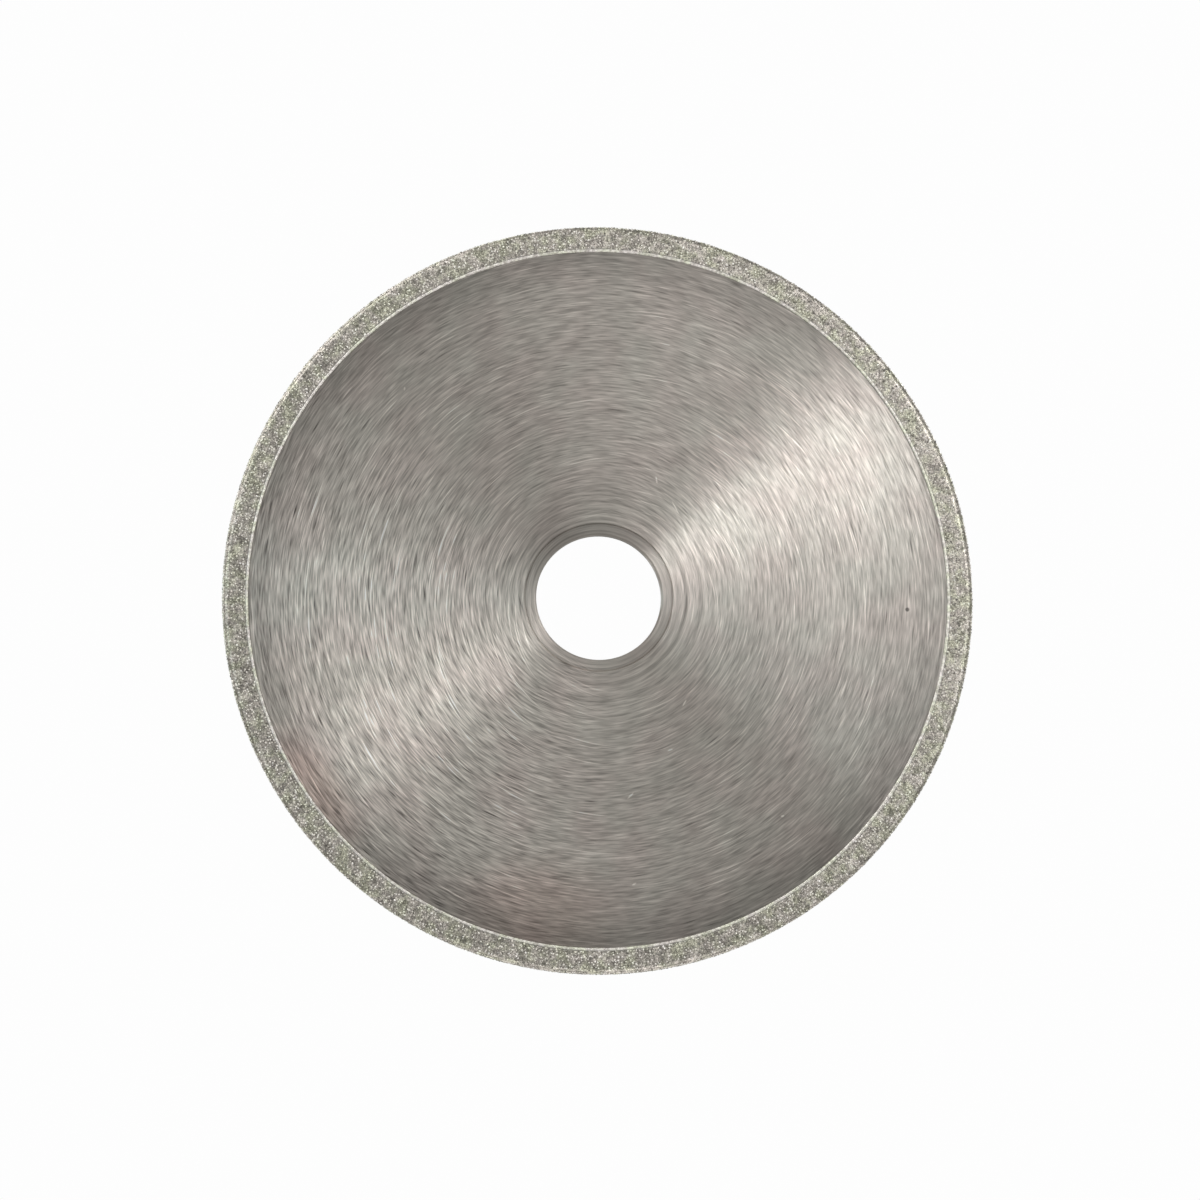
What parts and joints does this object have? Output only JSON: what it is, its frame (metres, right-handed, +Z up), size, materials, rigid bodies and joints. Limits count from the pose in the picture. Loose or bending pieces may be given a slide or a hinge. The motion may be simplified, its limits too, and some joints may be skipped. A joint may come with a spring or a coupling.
{
  "type": "diamond grinding wheel",
  "caption": "Flat steel disc with a plated diamond band over its rim and the edges of its faces, and a plain arbor hole in a pressed-in reducing bush.",
  "frame": {"origin": "centre of the arbor hole, midway through the wheel's thickness", "axes": "+Y along the spindle axis, out of the back face, +Z up with the wheel standing on its rim, X across"},
  "size_m": [0.1524, 0.004, 0.1524],
  "materials": {
    "core_steel": "satin",
    "bush_steel": "satin",
    "nickel_plate": "satin",
    "diamond_grain": "satin"
  },
  "bodies": {
    "root": {"steel_core": "core_steel", "bore_bush": "bush_steel", "nickel_bond": "nickel_plate", "diamond_grit": "diamond_grain"}
  },
  "joints": []
}
